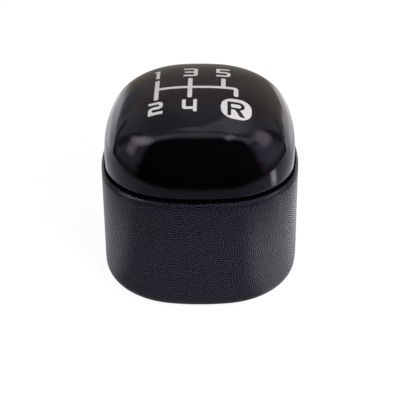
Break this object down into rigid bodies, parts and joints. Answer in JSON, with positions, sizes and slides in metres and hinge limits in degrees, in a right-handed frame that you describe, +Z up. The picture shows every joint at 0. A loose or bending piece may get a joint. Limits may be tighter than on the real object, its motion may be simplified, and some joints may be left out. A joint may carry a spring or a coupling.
{
  "type": "gear shift knob",
  "caption": "Gear shift knob: gloss black pillow-shaped crown cap clipped on a grip wrapped in black grained skin, with a blind socket for the gear lever in its flat base.",
  "frame": {"origin": "on the lever's axis, in the plane that the knob stands on", "axes": "+Z up the lever to the crown, +Y to the front of the car (odd gears), +X to the right (reverse)"},
  "size_m": [0.052, 0.054, 0.053],
  "materials": {
    "cap_gloss": "polished black moulding with pale printed shift pattern",
    "grip_leather": "black skin with a fine pebble grain, satin",
    "core_plastic": "black moulded plastic, fine spark texture",
    "socket_nylon": "natural nylon, as moulded",
    "ring_steel": "phosphated spring steel"
  },
  "bodies": {
    "root": {"top_cap": "cap_gloss", "grip_skin": "grip_leather", "grip_core": "core_plastic", "lever_socket": "socket_nylon", "retaining_ring": "ring_steel"}
  },
  "joints": []
}
